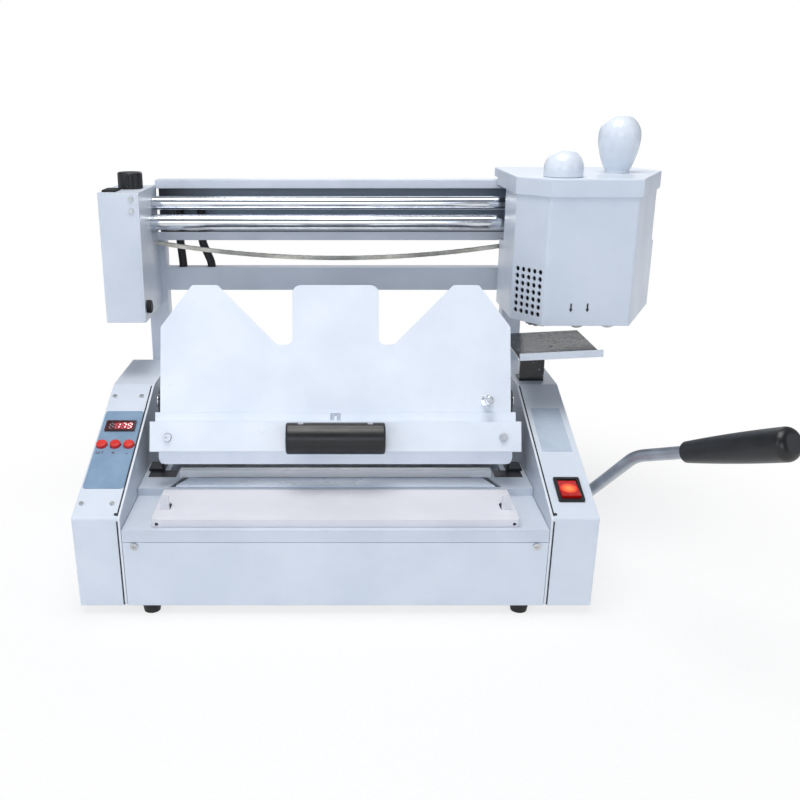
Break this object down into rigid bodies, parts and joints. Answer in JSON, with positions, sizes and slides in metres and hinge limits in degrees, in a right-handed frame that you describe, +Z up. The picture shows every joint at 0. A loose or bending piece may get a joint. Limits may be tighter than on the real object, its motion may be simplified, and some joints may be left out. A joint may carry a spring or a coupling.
{
  "type": "perfect binding machine",
  "caption": "Desktop glue binder: pages held in a flipping clamp, a railed milling and glue carriage passes over the spine, and a lever presses the cover on.",
  "frame": {"origin": "centre of the whole machine's box, on the desk under the rubber feet", "axes": "+X to the operator's right along the rails, +Y away from the operator, +Z up"},
  "size_m": [0.5934, 0.4474, 0.4394],
  "materials": {
    "white_coat": "satin powder coat",
    "rubber": "matt",
    "zinc": "zinc plated",
    "steel": "ground",
    "aluminium": "satin anodised",
    "grey_plate": "satin pale grey",
    "chrome": "polished",
    "black_plastic": "moulded",
    "white_gloss": "polished",
    "panel_blue": "printed film",
    "red_plastic": "moulded",
    "display": "tinted window",
    "dark_paint": "gloss",
    "board": "laminate",
    "cutter": "tool steel"
  },
  "bodies": {
    "base": {"base_pan": "zinc", "rubber_feet": "rubber", "side_frames": "white_coat", "left_cabinet_cover": "white_coat", "right_cabinet_cover": "white_coat", "front_panel": "white_coat", "deck": "white_coat", "cover_table": "white_coat", "rear_nip_bar": "white_coat", "pivot_ears": "dark_paint", "pivot_bushes": "steel", "frame_posts": "white_coat", "cross_bar": "white_coat", "top_beam": "white_coat", "rail_cables": "rubber", "guide_rails": "chrome", "rail_end_plates": "white_coat", "left_end_block": "white_coat", "end_bumper": "rubber", "drive_chain": "steel", "drip_tray": "dark_paint", "control_panel": "panel_blue", "display_window": "display", "panel_screws": "zinc", "switch_bezel": "black_plastic", "power_inlet": "black_plastic", "rear_panel": "zinc", "body_electrics": "board"},
    "carriage": {"carriage_housing": "white_coat", "carriage_lid": "white_coat", "push_knob": "white_gloss", "slide_block": "aluminium", "carriage_chassis": "zinc", "mill_motor": "dark_paint", "glue_tank": "aluminium"},
    "filler_cap": {"glue_cap": "white_gloss"},
    "cutter": {"milling_cutter": "cutter"},
    "roller_a": {"front_glue_roller": "steel"},
    "roller_b": {"rear_glue_roller": "steel"},
    "sprocket": {"drive_sprocket": "steel"},
    "clamp": {"back_plate": "white_coat", "back_jaw": "steel", "clamp_arms": "zinc", "register_pin": "chrome"},
    "front_jaw": {"jaw_angle": "white_coat", "jaw_bar": "white_coat", "jaw_screws": "zinc", "grip_lugs": "zinc"},
    "jaw_handle": {"clamp_grip": "black_plastic"},
    "lever": {"press_shaft": "steel", "lever_hub": "black_plastic", "lever_rod": "chrome", "lever_grip": "black_plastic"},
    "platform": {"spine_platform": "steel"},
    "nip": {"front_nip_plate": "grey_plate"},
    "stop_knob": {"end_knob": "black_plastic"},
    "rocker": {"power_rocker": "red_plastic"},
    "button_set": {"set_button": "red_plastic"},
    "button_up": {"up_button": "red_plastic"},
    "button_down": {"down_button": "red_plastic"}
  },
  "joints": [
    {"name": "carriage_slide", "type": "slide", "parent": "base", "child": "carriage", "axis": [-1, 0, 0], "range_m": [0, 0.376], "deforming": ["drive_chain"]},
    {"name": "filler_cap_lift", "type": "slide", "parent": "carriage", "child": "filler_cap", "axis": [0, 0, 1], "range_m": [0, 0.04]},
    {"name": "cutter_spin", "type": "hinge", "parent": "carriage", "child": "cutter", "pos_m": [0.15634, 0.0707, 0.245], "axis": [0, 0, 1], "continuous": true},
    {"name": "roller_a_turn", "type": "hinge", "parent": "carriage", "child": "roller_a", "pos_m": [0.18934, 0.0707, 0.2456], "axis": [0, -1, 0], "range_deg": [-2, 1970]},
    {"name": "roller_b_turn", "type": "hinge", "parent": "carriage", "child": "roller_b", "pos_m": [0.22034, 0.0707, 0.2456], "axis": [0, -1, 0], "range_deg": [-2, 1970]},
    {"name": "sprocket_turn", "type": "hinge", "parent": "carriage", "child": "sprocket", "pos_m": [0.15434, 0.1747, 0.29023], "axis": [0, 1, 0], "range_deg": [-2, 1770]},
    {"name": "clamp_flip", "type": "hinge", "parent": "base", "child": "clamp", "pos_m": [-0.05366, 0.0237, 0.166], "axis": [1, 0, 0], "range_deg": [-161, 19]},
    {"name": "jaw_slide", "type": "slide", "parent": "clamp", "child": "front_jaw", "axis": [0, -0.9455, 0.3256], "range_m": [0, 0.04]},
    {"name": "jaw_handle_turn", "type": "hinge", "parent": "front_jaw", "child": "jaw_handle", "pos_m": [-0.05366, -0.03641, 0.15454], "axis": [-1, 0, 0], "range_deg": [0, 60]},
    {"name": "lever_pull", "type": "hinge", "parent": "base", "child": "lever", "pos_m": [-0.05366, 0.0067, 0.064], "axis": [-1, 0, 0], "range_deg": [-36, 24]},
    {"name": "platform_lift", "type": "slide", "parent": "base", "child": "platform", "axis": [0, 0, 1], "range_m": [-0.0041, 0.0062]},
    {"name": "nip_adjust", "type": "slide", "parent": "base", "child": "nip", "axis": [0, 1, 0], "range_m": [-0.034, 0.006]},
    {"name": "stop_knob_turn", "type": "hinge", "parent": "base", "child": "stop_knob", "pos_m": [-0.27266, 0.1517, 0.372], "axis": [0, 0, 1], "continuous": true},
    {"name": "power_rock", "type": "hinge", "parent": "base", "child": "rocker", "pos_m": [0.16084, -0.07539, 0.11125], "axis": [1, 0, 0], "range_deg": [0, 12]},
    {"name": "set_press", "type": "slide", "parent": "base", "child": "button_set", "axis": [0, 0.331, -0.9436], "range_m": [0, 0.0015], "stiffness_N_per_m": 400},
    {"name": "up_press", "type": "slide", "parent": "base", "child": "button_up", "axis": [0, 0.331, -0.9436], "range_m": [0, 0.0015], "stiffness_N_per_m": 400},
    {"name": "down_press", "type": "slide", "parent": "base", "child": "button_down", "axis": [0, 0.331, -0.9436], "range_m": [0, 0.0015], "stiffness_N_per_m": 400}
  ],
  "couplings": [
    {"joint": "roller_a_turn", "follows": "carriage_slide", "rad_per_m": 90.909},
    {"joint": "roller_b_turn", "follows": "carriage_slide", "rad_per_m": 90.909},
    {"joint": "sprocket_turn", "follows": "carriage_slide", "rad_per_m": 81.518},
    {"joint": "platform_lift", "follows": "lever_pull", "m_per_rad": -0.0094}
  ]
}
